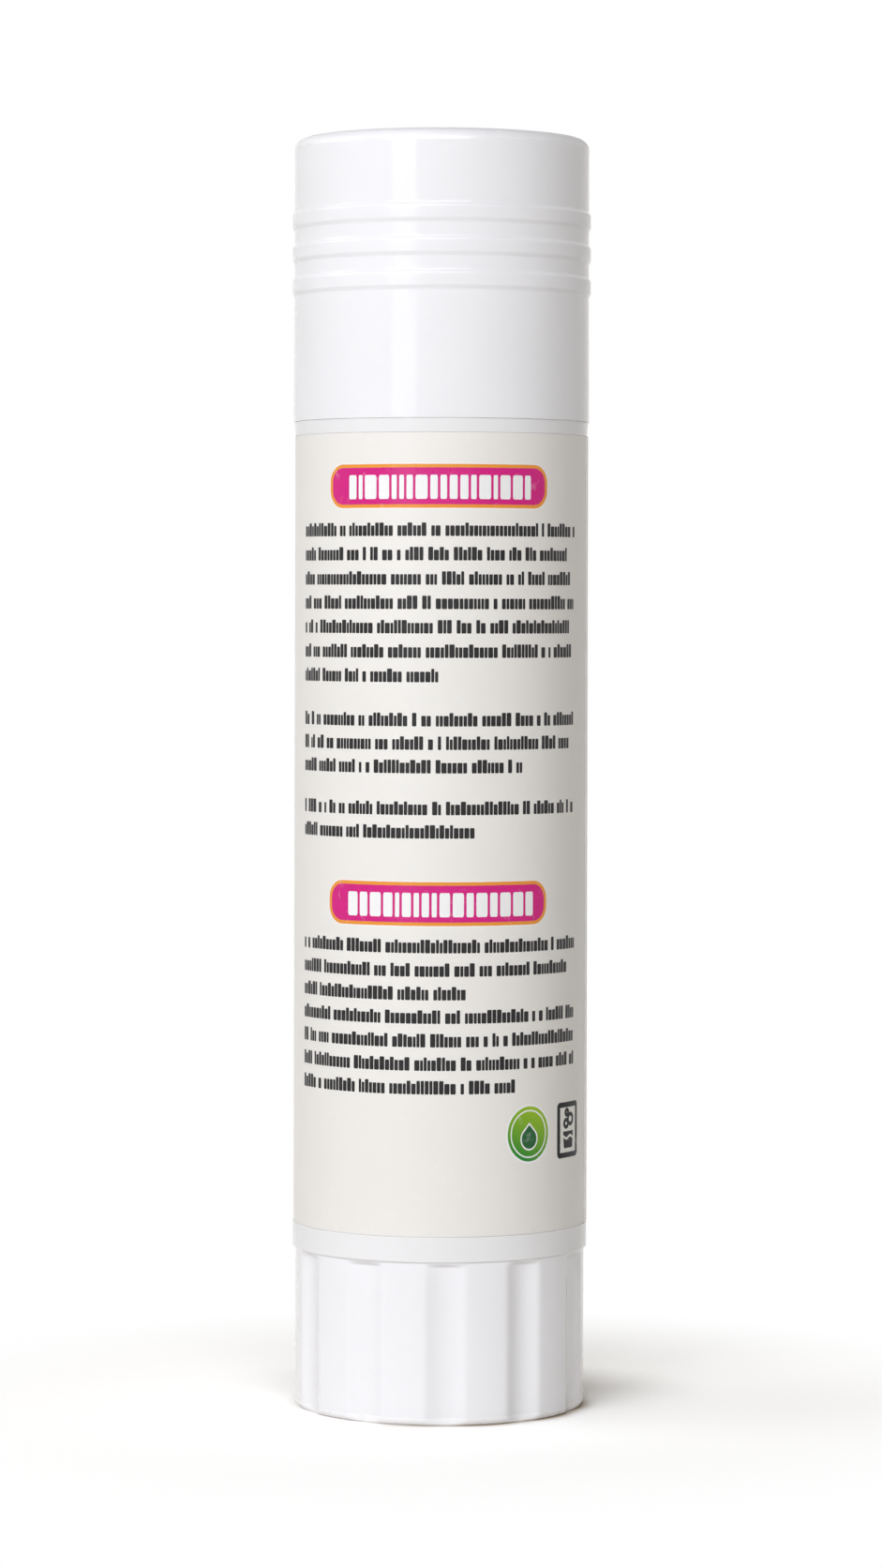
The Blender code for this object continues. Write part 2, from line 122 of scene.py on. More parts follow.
def newGroup(name, kind, output, values):
    # a node group with one output; its inputs and their values come from a dictionary
    tree = bpy.data.node_groups.new(name, kind)
    if kind == "GeometryNodeTree":
        tree.interface.new_socket(output, in_out="INPUT", socket_type="NodeSocketGeometry")
    for label, value in values.items():
        socketKind = "NodeSocketInt" if isinstance(value, int) else "NodeSocketFloat"
        tree.interface.new_socket(label, in_out="INPUT", socket_type=socketKind).default_value = value
    outputKind = "NodeSocketGeometry" if kind == "GeometryNodeTree" else "NodeSocketFloat"
    tree.interface.new_socket(output, in_out="OUTPUT", socket_type=outputKind)
    given = {socket.name: Field(tree, socket) for socket in tree.nodes.new("NodeGroupInput").outputs}
    return tree, given, tree.nodes.new("NodeGroupOutput").inputs[0]


def useGroup(tree, group, **inputs):
    node = addNode(tree, "ShaderNodeGroup", {"node_tree": group}, **inputs)
    return Field(tree, node.outputs[0])


def out(tree, node, name):
    return Field(tree, node.outputs[name])


def split(tree, vector):
    node = addNode(tree, "ShaderNodeSeparateXYZ", Vector=vector)
    return [Field(tree, socket) for socket in node.outputs]


def join(tree, x, y, z):
    return addNode(tree, "ShaderNodeCombineXYZ", X=x, Y=y, Z=z)


def lengthOf(x, y):
    return (x * x + y * y).root()


def objectPoint(tree):
    return addNode(tree, "ShaderNodeTexCoord").outputs["Object"]


def noise(tree, point, scale, detail=2.0, roughness=0.5, stretch=(1, 1, 1), turn=(0, 0, 0)):
    placed = addNode(tree, "ShaderNodeMapping", Vector=point, Scale=stretch, Rotation=turn)
    node = addNode(tree, "ShaderNodeTexNoise", Vector=placed, Scale=scale,
                   Detail=detail, Roughness=roughness)
    return Field(tree, node.outputs[0])


def blendColour(tree, share, first, second):
    node = addNode(tree, "ShaderNodeMix", {"data_type": "RGBA"})
    for slot, value in ((0, share), (6, first), (7, second)):
        plug(tree, (*value, 1) if isinstance(value, tuple) else value, node.inputs[slot])
    return node.outputs[2]


# Shared surface effects; the sizes of noises are in cells per metre

def makeCloudyTone():
    tree, given, result = newGroup("cloudyTone", "ShaderNodeTree", "Tone", {"Size": 60.0, "Contrast": 1.0})
    broad = noise(tree, objectPoint(tree), given["Size"], 4.0, 0.6)
    tone = (broad - 0.5) * given["Contrast"] + 0.5
    plug(tree, tone.ramp(0.0, 1.0), result)
    return tree


def makeHairScratches():
    tree, given, result = newGroup("hairScratches", "ShaderNodeTree", "Mask",
                                   {"Amount": 0.5, "Fineness": 1.0})
    point = objectPoint(tree)
    fineness = given["Fineness"]
    steep = noise(tree, point, fineness * 90, 2.0, 0.5, (9, 9, 0.7), (0.5, 0.3, 0.2))
    level = noise(tree, point, fineness * 110, 2.0, 0.5, (0.6, 0.8, 11), (0.2, -0.35, 0.6))
    patches = noise(tree, point, 45.0).ramp(0.42, 0.66)
    lines = steep.ramp(0.66, 0.72).larger(level.ramp(0.67, 0.73))
    plug(tree, lines * patches * given["Amount"], result)
    return tree


def makeRubbedEdges():
    tree, given, result = newGroup("rubbedEdges", "ShaderNodeTree", "Mask",
                                   {"Reach": 0.5, "Breakup": 400.0})
    edge = out(tree, addNode(tree, "ShaderNodeAttribute", {"attribute_name": "edge"}), "Fac")
    broken = noise(tree, objectPoint(tree), given["Breakup"], 4.0, 0.6)
    worn = edge * given["Reach"] * 2 + broken - 1.0
    plug(tree, worn.ramp(0.0, 0.5), result)
    return tree


def makeMouldedRelief():
    tree, given, result = newGroup("mouldedRelief", "ShaderNodeTree", "Height",
                                   {"Sink": 1.0, "Peel": 0.4, "Grain": 0.1})
    point = objectPoint(tree)
    sink = noise(tree, point, 130.0, 1.0, 0.4, (1, 1, 0.55)) * given["Sink"]
    peel = noise(tree, point, 900.0) * given["Peel"]
    grain = noise(tree, point, 9000.0, 2.0, 0.6) * given["Grain"]
    plug(tree, sink + peel + grain, result)
    return tree


cloudyTone = makeCloudyTone()
hairScratches = makeHairScratches()
rubbedEdges = makeRubbedEdges()
mouldedRelief = makeMouldedRelief()
print("surface effects ready")


def newMaterial(name, viewColour):
    material = bpy.data.materials.new(name)
    material.use_nodes = True
    material.diffuse_color = (*viewColour, 1)
    tree = material.node_tree
    return material, tree, tree.nodes["Principled BSDF"]


def surface(tree, shader, colour, roughness, height, reliefDepth):
    plug(tree, colour, shader.inputs["Base Color"])
    plug(tree, roughness, shader.inputs["Roughness"])
    bump = addNode(tree, "ShaderNodeBump", Strength=1.0, Distance=reliefDepth, Height=height)
    plug(tree, bump, shader.inputs["Normal"])


def addGlow(shader, look):
    for socket, key in {"Weight": "glow", "Radius": "glowRadius", "Scale": "glowDepth"}.items():
        shader.inputs["Subsurface " + socket].default_value = look[key]


def plasticMaterial(name, look):
    material, tree, shader = newMaterial(name, look["colour"])
    tone = useGroup(tree, cloudyTone, Size=look["cloudSize"], Contrast=look["cloudContrast"])
    scratch = useGroup(tree, hairScratches, Amount=look["scratches"], Fineness=look["fineness"])
    rub = useGroup(tree, rubbedEdges, Reach=look["rub"])
    relief = useGroup(tree, mouldedRelief, Sink=look["sink"], Peel=look["peel"], Grain=look["grain"])
    body = blendColour(tree, tone, look["colour"], look["deepColour"])
    worn = blendColour(tree, scratch * look["scratchShow"], body, look["scratchColour"])
    rubbed = blendColour(tree, rub * look["rubShow"], worn, look["rubColour"])
    shine = (tone * look["shineSpread"] + look["roughness"] + scratch * look["scratchDull"]
             + rub * look["rubDull"])
    if "matt" in look:
        fromHeight, toHeight, added = look["matt"]
        shine = shine + split(tree, objectPoint(tree))[2].ramp(fromHeight, toHeight, 0.0, added)
    surface(tree, shader, rubbed, shine, relief - scratch * look["scratchDepth"], look["reliefDepth"])
    shader.inputs["IOR"].default_value = look["ior"]
    addGlow(shader, look)
    return material


whiteLook = {
    "colour": (0.885, 0.885, 0.91),
    "deepColour": (0.865, 0.868, 0.895),
    "scratchColour": (0.93, 0.93, 0.94),
    "rubColour": (0.93, 0.93, 0.945),
    "roughness": 0.06,
    "shineSpread": 0.035,
    "cloudSize": 55.0,
    "cloudContrast": 1.6,
    "scratches": 0.25,
    "scratchShow": 0.35,
    "scratchDull": 0.25,
    "scratchDepth": 0.6,
    "fineness": 1.6,
    "rub": 0.35,
    "rubShow": 0.5,
    "rubDull": 0.15,
    "sink": 1.0,
    "peel": 0.12,
    "grain": 0.01,
    "reliefDepth": 14 * um,
    "ior": 1.5,
    "glow": 0.12,
    "glowRadius": (1.0, 0.95, 0.85),
    "glowDepth": 0.6 * mm,
}
# the cap's crown is duller: the last number is the roughness gained between the two heights
capPlastic = plasticMaterial("capPlastic", {
    **whiteLook, "matt": (capHigh.z - 1.3 * mm, capHigh.z - 0.4 * mm, 0.4)})
barrelPlastic = plasticMaterial("barrelPlastic", {
    **whiteLook, "colour": (0.85, 0.852, 0.862), "deepColour": (0.835, 0.837, 0.847),
    "roughness": 0.16})
basePlastic = plasticMaterial("basePlastic", {
    **whiteLook, "roughness": 0.14, "scratches": 0.35, "rub": 0.5})
innerPlastic = plasticMaterial("innerPlastic", {
    **whiteLook, "colour": (0.8, 0.81, 0.82), "deepColour": (0.76, 0.77, 0.785), "roughness": 0.34,
    "glow": 0.25, "glowDepth": 2 * mm, "scratches": 0.6})


def soapMaterial(look):
    material, tree, shader = newMaterial("soapWax", look["colour"])
    point = objectPoint(tree)
    tone = useGroup(tree, cloudyTone, Size=look["marbleSize"], Contrast=look["marbleContrast"])
    swirl = noise(tree, point, 70.0, 4.0, 0.65, (1, 1, 0.25), (0.2, 0.1, 0)).ramp(0.35, 0.7)
    scratch = useGroup(tree, hairScratches, Amount=look["scratches"], Fineness=0.7)
    rub = useGroup(tree, rubbedEdges, Reach=look["rub"], Breakup=260.0)
    pits = noise(tree, point, 2600.0, 2.0, 0.6).ramp(0.62, 0.72)
    marbled = blendColour(tree, tone * 0.6 + swirl * 0.4, look["colour"], look["deepColour"])
    wear = scratch * look["scratchShow"] + rub * look["rubShow"]
    worn = blendColour(tree, wear, marbled, look["rubColour"])
    drag = noise(tree, point, 1500.0, 2.0, 0.5, (1, 1, 0.05))
    height = tone * 1.2 + drag * 0.35 - pits * 0.5 - scratch * 0.5
    surface(tree, shader, worn, tone * 0.14 + look["roughness"] + pits * 0.1, height, look["reliefDepth"])
    addGlow(shader, look)
    return material


soapWax = soapMaterial({
    "colour": (0.87, 0.83, 0.71),
    "deepColour": (0.82, 0.77, 0.63),
    "rubColour": (0.91, 0.88, 0.79),
    "roughness": 0.4,
    "marbleSize": 90.0,
    "marbleContrast": 2.0,
    "scratches": 0.8,
    "scratchShow": 0.3,
    "rub": 0.6,
    "rubShow": 0.4,
    "glowRadius": (1.0, 0.8, 0.5),
    "reliefDepth": 40 * um,
    "glow": 0.3,
    "glowDepth": 3 * mm,
})


# Mesh helpers

def turnAt(corner, before, after):
    # directions into and out of a profile's corner, and the angle between them; an angle below zero
    # means that the corner points out of the material
    inward, onward = (corner - before).normalized(), (after - corner).normalized()
    return inward, onward, inward.angle_signed(onward) * -1 if inward.length and onward.length else 0.0


def roundProfile(corners, ring=False, arcSteps=6, hold=0.2 * mm, edgeShare=0.45):
    # corners are (radius, height, rounding), down the outer side, with no rounding at an open end;
    # adds holding loops and edge marks
    count = len(corners)
    points = [Vector(corner[:2]) for corner in corners]
    turnedCorners = []
    for i, point in enumerate(points):
        rounding = corners[i][2]
        before, after = points[i - 1], points[(i + 1) % count]
        inward, onward, turn = turnAt(point, before, after)
        if rounding <= 0 or abs(turn) < 1e-3:
            turnedCorners.append([(point, 0.0)])
            continue
        reach = min(rounding * tan(abs(turn) / 2), edgeShare * (point - before).length,
                    edgeShare * (after - point).length)
        rounding = reach / tan(abs(turn) / 2)
        side = Vector((inward.y, -inward.x)) if turn < 0 else Vector((-inward.y, inward.x))
        start = point - inward * reach
        centre = start + side * rounding
        spoke = start - centre
        mark = 1.0 if turn < 0 else 0.0
        turnedCorners.append([
            (centre + Matrix.Rotation(turn * step / arcSteps, 2) @ spoke, mark)
            for step in range(arcSteps + 1)])
    profile = []
    for i, arcPoints in enumerate(turnedCorners):
        profile += arcPoints
        if not ring and i == count - 1:
            break
        last, first = arcPoints[-1][0], turnedCorners[(i + 1) % count][0][0]
        length = (first - last).length
        if length > 4 * hold:
            along = (first - last) / length
            profile += [(last + along * hold, 0.0), (first - along * hold, 0.0)]
    return [(max(point.x, 0.0), point.y, mark) for point, mark in profile]


def meshOf(name, verts, faces):
    mesh = bpy.data.meshes.new(name)
    mesh.from_pydata(verts, [], faces)
    return mesh


def addMarks(mesh, label, values, kind="FLOAT"):
    mesh.attributes.new(label, kind, "POINT").data.foreach_set("value", values)


def addObject(name, data):
    thing = bpy.data.objects.new(name, data)
    bpy.context.scene.collection.objects.link(thing)
    return thing


def newPiece(name, mesh, material=None):
    piece = addObject(name, mesh)
    if material:
        mesh.materials.append(material)
    return piece


def spin(name, profile, sides, material, ring=False):
    verts, marks, rows = [], [], []
    for radius, height, mark in profile:
        around = 1 if radius < 1e-7 else sides
        rows.append([len(verts) + i for i in range(around)])
        for i in range(around):
            angle = 2 * pi * i / sides
            verts.append((radius * cos(angle), radius * sin(angle), height))
            marks.append(mark)
    faces = []
    pairs = list(zip(rows, rows[1:])) + ([(rows[-1], rows[0])] if ring else [])
    for upper, lower in pairs:
        for i in range(sides):
            j = (i + 1) % sides
            corners = [upper[i % len(upper)], lower[i % len(lower)], lower[j % len(lower)],
                       upper[j % len(upper)]]
            face = list(dict.fromkeys(corners))
            if len(face) > 2:
                faces.append(face)
    mesh = meshOf(name, verts, faces)
    addMarks(mesh, "edge", marks)
    return newPiece(name, mesh, material)


def settle(piece):
    # keeps the modified shape as a plain mesh
    bpy.context.view_layer.update()
    shape = piece.evaluated_get(bpy.context.evaluated_depsgraph_get())
    mesh = bpy.data.meshes.new_from_object(shape)
    piece.modifiers.clear()
    old, piece.data = piece.data, mesh
    bpy.data.meshes.remove(old)


def carve(piece, tool, operation):
    cut = piece.modifiers.new("carve", "BOOLEAN")
    cut.operation, cut.object, cut.solver = operation, tool, "EXACT"
    settle(piece)
    bpy.data.objects.remove(tool, do_unlink=True)


def meshFrom(work, name):
    mesh = bpy.data.meshes.new(name)
    work.to_mesh(mesh)
    work.free()
    return mesh


def slabs(name, places):
    # upright blocks: angle, inner radius, outer radius, width, low, high
    work = bmesh.new()
    for angle, inner, outer, width, low, high in places:
        block = bmesh.ops.create_cube(work, size=1)["verts"]
        for vert in block:
            vert.co = (inner if vert.co.x < 0 else outer, vert.co.y * width,
                       low if vert.co.z < 0 else high)
        bmesh.ops.rotate(work, verts=block, matrix=Matrix.Rotation(angle, 3, "Z"))
    return newPiece(name, meshFrom(work, name))


def evenly(count):
    return [2 * pi * i / count for i in range(count)]


def fit(piece, node, body, sharpAngle=35):
    # a finished piece takes the place of its CAD node
    piece.data.shade_smooth()
    piece.data.set_sharp_from_angle(angle=radians(sharpAngle))
    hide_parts(node)
    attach(piece, body)
    print(node, len(piece.data.polygons), "faces")


# Cap

capSizes = sizesInMm(
    {"sides": 256, "ringCount": 3},
    radius=15.06,
    mouthRadius=15.10,
    mouthHeight=100.13,
    crownRounding=1.15,
    ringDrop=7.5,
    ringPitch=3.35,
    ringWidth=1.9,
    ringTopSlope=0.22,
    ringFootSlope=0.42,
    ringRounding=0.4,
    rootRounding=0.5,
    gateRadius=1.7,
    gateDepth=0.12,
    gateSlope=0.25,
    pipRadius=0.45,
    pipSlope=0.15,
    pipHeight=0.048,
    bore=13.9,
    boreBevel=(0.25, 0.3),
    crownInside=127.5,
    plugRadius=12.5,
    plugBottom=119.6,
    plugWall=0.9,
    lip=0.03,
)


def makeCap(s):
    top, bottom, crest, radius = capHigh.z, s["mouthHeight"], capHigh.x, s["radius"]
    bore, ceiling, plugOuter, plugEnd = s["bore"], s["crownInside"], s["plugRadius"], s["plugBottom"]
    gate, plugInner = top - s["gateDepth"], plugOuter - s["plugWall"]
    corners = [(0, gate + s["pipHeight"], 0),
               (s["pipRadius"], gate + s["pipHeight"], 0.06 * mm),
               (s["pipRadius"] + s["pipSlope"], gate, 0.06 * mm),
               (s["gateRadius"] - s["gateSlope"], gate, 0.08 * mm),
               (s["gateRadius"], top, 0.1 * mm),
               (radius, top, s["crownRounding"])]
    for i in range(s["ringCount"]):
        high = top - s["ringDrop"] - i * s["ringPitch"]
        low = high - s["ringWidth"]
        corners += [(radius, high, s["rootRounding"]),
                    (crest, high - s["ringTopSlope"], s["ringRounding"]),
                    (crest, low + s["ringFootSlope"], s["ringRounding"]),
                    (radius, low, s["rootRounding"])]
    corners += [(s["mouthRadius"], bottom, s["lip"]),
                (bore + s["boreBevel"][0], bottom, s["lip"]),
                (bore, bottom + s["boreBevel"][1], 0.15 * mm),
                (bore, ceiling, 0.5 * mm),
                (plugOuter, ceiling, 0.3 * mm),
                (plugOuter, plugEnd, 0.3 * mm),
                (plugInner, plugEnd, 0.25 * mm),
                (plugInner, ceiling, 0.3 * mm),
                (0, ceiling, 0)]
    cap = spin("cap_shell", roundProfile(corners), s["sides"], capPlastic)
    fit(cap, "cap", "cap")


makeCap(capSizes)


# Barrel

labelSpan = (18.8 * mm, 98.7 * mm)

barrelSizes = sizesInMm(
    {"sides": 256, "ribCount": 4},
    neckRadius=13.7,
    bead=0.08,
    beadHeight=103.2,
    beadWidth=1.5,
    shoulder=100.12,
    shoulderBevel=(0.03, 0.04),
    shoulderTaper=0.1,
    collarBottom=16.29,
    collarBevel=(0.03, 0.03),
    recess=0.2,
    recessPlay=0.018,
    ribRoot=0.5,
    bore=12.7,
    floor=(18.15, 19.65),
    bearing=4.45,
    ribWidth=1.2,
    ribRadius=12.1,
    ribTop=118.8,
)


def makeBarrel(s):
    radius, top, bottom = barrelHigh.x, barrelHigh.z, s["collarBottom"]
    neck, bore, recess = s["neckRadius"], s["bore"], radius - s["recess"]
    labelTop, labelBottom = labelSpan[1] + s["recessPlay"], labelSpan[0] - s["recessPlay"]
    bead, beadHalf, shoulder = s["beadHeight"], s["beadWidth"] / 2, s["shoulder"]
    floorLow, floorHigh = s["floor"]
    corners = [(neck, top, 0.2 * mm),
               (neck, bead + beadHalf, 0.3 * mm),
               (neck + s["bead"], bead, 0.4 * mm),
               (neck, bead - beadHalf, 0.3 * mm),
               (neck, shoulder, 0.15 * mm),
               (radius - s["shoulderBevel"][0], shoulder, 0.02 * mm),
               (radius, shoulder - s["shoulderBevel"][1], 0.04 * mm),
               (radius - s["shoulderTaper"], labelTop, 0.03 * mm),
               (recess, labelTop, 0.04 * mm),
               (recess, labelBottom, 0.04 * mm),
               (radius, labelBottom, 0.06 * mm),
               (radius, bottom + s["collarBevel"][1], 0.04 * mm),
               (radius - s["collarBevel"][0], bottom, 0.03 * mm),
               (bore, bottom, 0.12 * mm),
               (bore, floorLow, 0.3 * mm),
               (s["bearing"], floorLow, 0.12 * mm),
               (s["bearing"], floorHigh, 0.12 * mm),
               (bore, floorHigh, 0.3 * mm),
               (bore, top, 0.3 * mm)]
    barrel = spin("barrel_shell", roundProfile(corners, ring=True), s["sides"], barrelPlastic, ring=True)
    middle = (floorLow + floorHigh) / 2
    ribs = slabs("ribs", [(angle, s["ribRadius"], bore + s["ribRoot"], s["ribWidth"], middle, s["ribTop"])
                          for angle in evenly(s["ribCount"])])
    carve(barrel, ribs, "UNION")
    fit(barrel, "barrel", "barrel")


makeBarrel(barrelSizes)


# Turning base: a turned shell, then a Geometry Nodes rule presses the flutes into its outer wall

baseSizes = sizesInMm(
    {"sides": 440, "webCount": 6},
    radius=14.73,
    height=16.28,
    bottomRounding=0.75,
    topRadius=14.79,
    flareLow=16.1,
    runoutLoops=tuple(16.0 - 0.06 * step for step in range(8)),
    webRoot=(1.0, 0.5),
    gatePip=(0.3, 0.25),
    footInside=11.03,
    footRecess=0.5,
    floor=1.6,
    bore=12.53,
    lipRadius=12.55,
    lipWall=1.1,
    lipTop=18.0,
    hubRadius=5.48,
    socketCorner=3.58,
    socketBottom=2.1,
    webWidth=1.0,
    webTop=11.7,
    gateRadius=1.4,
)

fluteSizes = {
    "Flute Count": 11,
    "Flute Depth": 0.6 * mm,
    "Cutter Radius": 3.4 * mm,
    "Wall Radius": baseSizes["radius"],
    "Edge Softness": 0.6 * mm,
    "Runout Low": 15.64 * mm,
    "Runout High": 16.16 * mm,
    "First Angle": radians(2.4) - pi / 2,
}


def makeFluteTree(material, values):
    tree, given, result = newGroup("fluteRule", "GeometryNodeTree", "Geometry", values)
    cutter, soft = given["Cutter Radius"], given["Edge Softness"]
    reach = given["Wall Radius"] - given["Flute Depth"] + cutter
    pitch = calc(tree, "DIVIDE", 2 * pi, given["Flute Count"])
    x, y, z = split(tree, addNode(tree, "GeometryNodeInputPosition"))
    radius = lengthOf(x, y)
    angle = calc(tree, "ARCTAN2", y, x) - given["First Angle"]
    local = calc(tree, "WRAP", angle, pitch * 0.5, pitch * -0.5)
    across = local.sine() * reach
    fluteRadius = local.cosine() * reach - (cutter * cutter - across * across).larger(0.0).root()
    pressed = calc(tree, "SMOOTH_MIN", radius, fluteRadius, soft)
    runout = z.ramp(given["Runout Low"], given["Runout High"], smooth=True)
    pressed = pressed + (radius - pressed) * runout
    share = pressed / radius.larger(um)
    moved = join(tree, x * share, y * share, z)
    outerWall = addNode(tree, "FunctionNodeCompare", {"data_type": "FLOAT", "operation": "GREATER_THAN"},
                        A=radius, B=reach - cutter - soft * 2)
    place = addNode(tree, "GeometryNodeSetPosition", Geometry=given["Geometry"],
                    Selection=outerWall, Position=moved)
    realize = addNode(tree, "GeometryNodeRealizeInstances", Geometry=place)
    paint = addNode(tree, "GeometryNodeSetMaterial", Geometry=realize, Material=material)
    plug(tree, paint, result)
    return tree


def useTree(piece, tree, values):
    # a modifier's inputs go by their identifiers, and are set before the piece is first evaluated
    modifier = piece.modifiers.new(tree.name, "NODES")
    modifier.node_group = tree
    for item in tree.interface.items_tree:
        if item.in_out == "INPUT" and item.name in values:
            modifier[item.identifier] = values[item.name]
    settle(piece)


def makeBase(s):
    radius, height, top = s["radius"], s["height"], baseHigh.z
    hub, bore, floor, recess = s["hubRadius"], s["bore"], s["floor"], s["footRecess"]
    lip, lipInside = s["lipRadius"], s["lipRadius"] - s["lipWall"]
    (pipSlope, pipHeight), (hubRoot, wallRoot) = s["gatePip"], s["webRoot"]
    corners = [(0, s["lipTop"], 0),
               (hub, s["lipTop"], 0.15 * mm),
               (hub, floor, 0.4 * mm),
               (bore, floor, 0.6 * mm),
               (bore, height - s["lipWall"], 0.2 * mm),
               (lipInside, height, 0.2 * mm),
               (lipInside, top, 0.12 * mm),
               (lip, top, 0.2 * mm),
               (lip, height, 0.1 * mm),
               (s["topRadius"], height, 0.03 * mm),
               (radius, s["flareLow"], 0.2 * mm),
               *((radius, loop, 0) for loop in s["runoutLoops"]),
               (radius, 0, s["bottomRounding"]),
               (s["footInside"], 0, 0.1 * mm),
               (s["footInside"] - recess, recess, 0.2 * mm),
               (s["gateRadius"], recess, 0.1 * mm),
               (s["gateRadius"] - pipSlope, recess + pipHeight, 0.1 * mm),
               (0, recess + pipHeight, 0)]
    base = spin("base_shell", roundProfile(corners), s["sides"], basePlastic)
    webs = slabs("webs", [(angle, hub - hubRoot, bore + wallRoot, s["webWidth"],
                           floor - wallRoot, s["webTop"]) for angle in evenly(s["webCount"])])
    carve(base, webs, "UNION")
    work = bmesh.new()
    bmesh.ops.create_cone(work, cap_ends=True, segments=6, radius1=s["socketCorner"],
                          radius2=s["socketCorner"], depth=s["lipTop"])
    bmesh.ops.translate(work, verts=work.verts, vec=(0, 0, s["socketBottom"] + s["lipTop"] / 2))
    carve(base, newPiece("socket", meshFrom(work, "socket")), "DIFFERENCE")
    useTree(base, makeFluteTree(basePlastic, fluteSizes), fluteSizes)
    fit(base, "turning_base", "base")


makeBase(baseSizes)


# Label: one sheet wound round the recess and lapped over itself to the right of the front

labelSizes = sizesInMm(
    {"seam": radians(80), "steps": 300, "rampSteps": 24},
    inside=14.84,
    thickness=0.08,
    play=0.006,
    lap=3.0,
    ramp=4.0,
    edge=0.02,
)

# The print, in mm: across from the middle of the front, and height above the table
printLayout = {
    "radius": 14.92,
    "pillAcross": -0.35,
    "pillHalfWidth": 12.15,
    "pillHeights": (93.35, 51.85),
    "pillHalfHeight": 2.18,
    "pillCorner": 1.8,
    "halo": 0.1,
    "border": 0.35,
    "seal": (9.6, 28.77),
    "sealRadius": 2.75,
    "sealSquash": 1.07,
    "sealHalo": 0.2,
    "sealRing": (0.42, 0.07),
    "dropRadius": 1.155,
    "dropLow": 0.495,
    "dropLine": 0.16,
    "badge": (15.7, 28.75),
    "badgeHalf": (2.1, 2.8),
    "badgeCorner": 0.5,
    "badgeStroke": 0.27,
    "tubHalf": (1.05, 0.95),
    "tubCorner": 0.2,
    "tubBelow": 0.9,
    "tubTaper": 0.09,
    "tubRim": -0.15,
    "rippleAt": -0.75,
    "rippleWave": (4.2, 0.13),
    "rippleHalf": 0.13,
    "bubbles": ((-0.45, 0.65, 0.36), (0.42, 1.05, 0.5), (-0.3, 1.75, 0.26)),
    "bubbleHalf": 0.2,
    "wobble": 0.05,
    "soft": 0.03,
}

filmLook = {
    "roughness": 0.3,
    "toneDull": 0.06,
    "scratchDull": 0.1,
    "inkShine": 0.07,
    "inkHeight": 0.12,
    "relief": 16 * um,
    "swell": (110.0, 0.9),
    "fibre": (420.0, 0.22),
    "grain": (6000.0, 0.03),
    "fibreDull": 0.04,
    "scratchSink": 0.2,
    "sheen": 0.34,
    "badgeDull": 0.22,
    "scratches": 0.35,
    "scratchShow": 0.12,
    "rub": 0.5,
    "rubShow": 0.6,
}

inkColours = {
    "paper": (0.85, 0.836, 0.803),
    "paperDeep": (0.83, 0.814, 0.779),
    "white": (0.91, 0.91, 0.915),
    "magenta": (0.69, 0.008, 0.225),
    "magentaDeep": (0.6, 0.006, 0.2),
    "orange": (0.82, 0.31, 0.035),
    "green": (0.3, 0.5, 0.008),
    "greenDeep": (0.004, 0.23, 0.012),
    "leaf": (0.003, 0.1, 0.018),
    "black": (0.012, 0.011, 0.012),
}


def roundBox(x, y, halfWidth, halfHeight, corner):
    # distance to a rounded box, below zero inside it; the other shapes are written the same way
    overX, overY = x.size() - (halfWidth - corner), y.size() - (halfHeight - corner)
    outside = lengthOf(overX.larger(0.0), overY.larger(0.0))
    return outside + overX.larger(overY).smaller(0.0) - corner


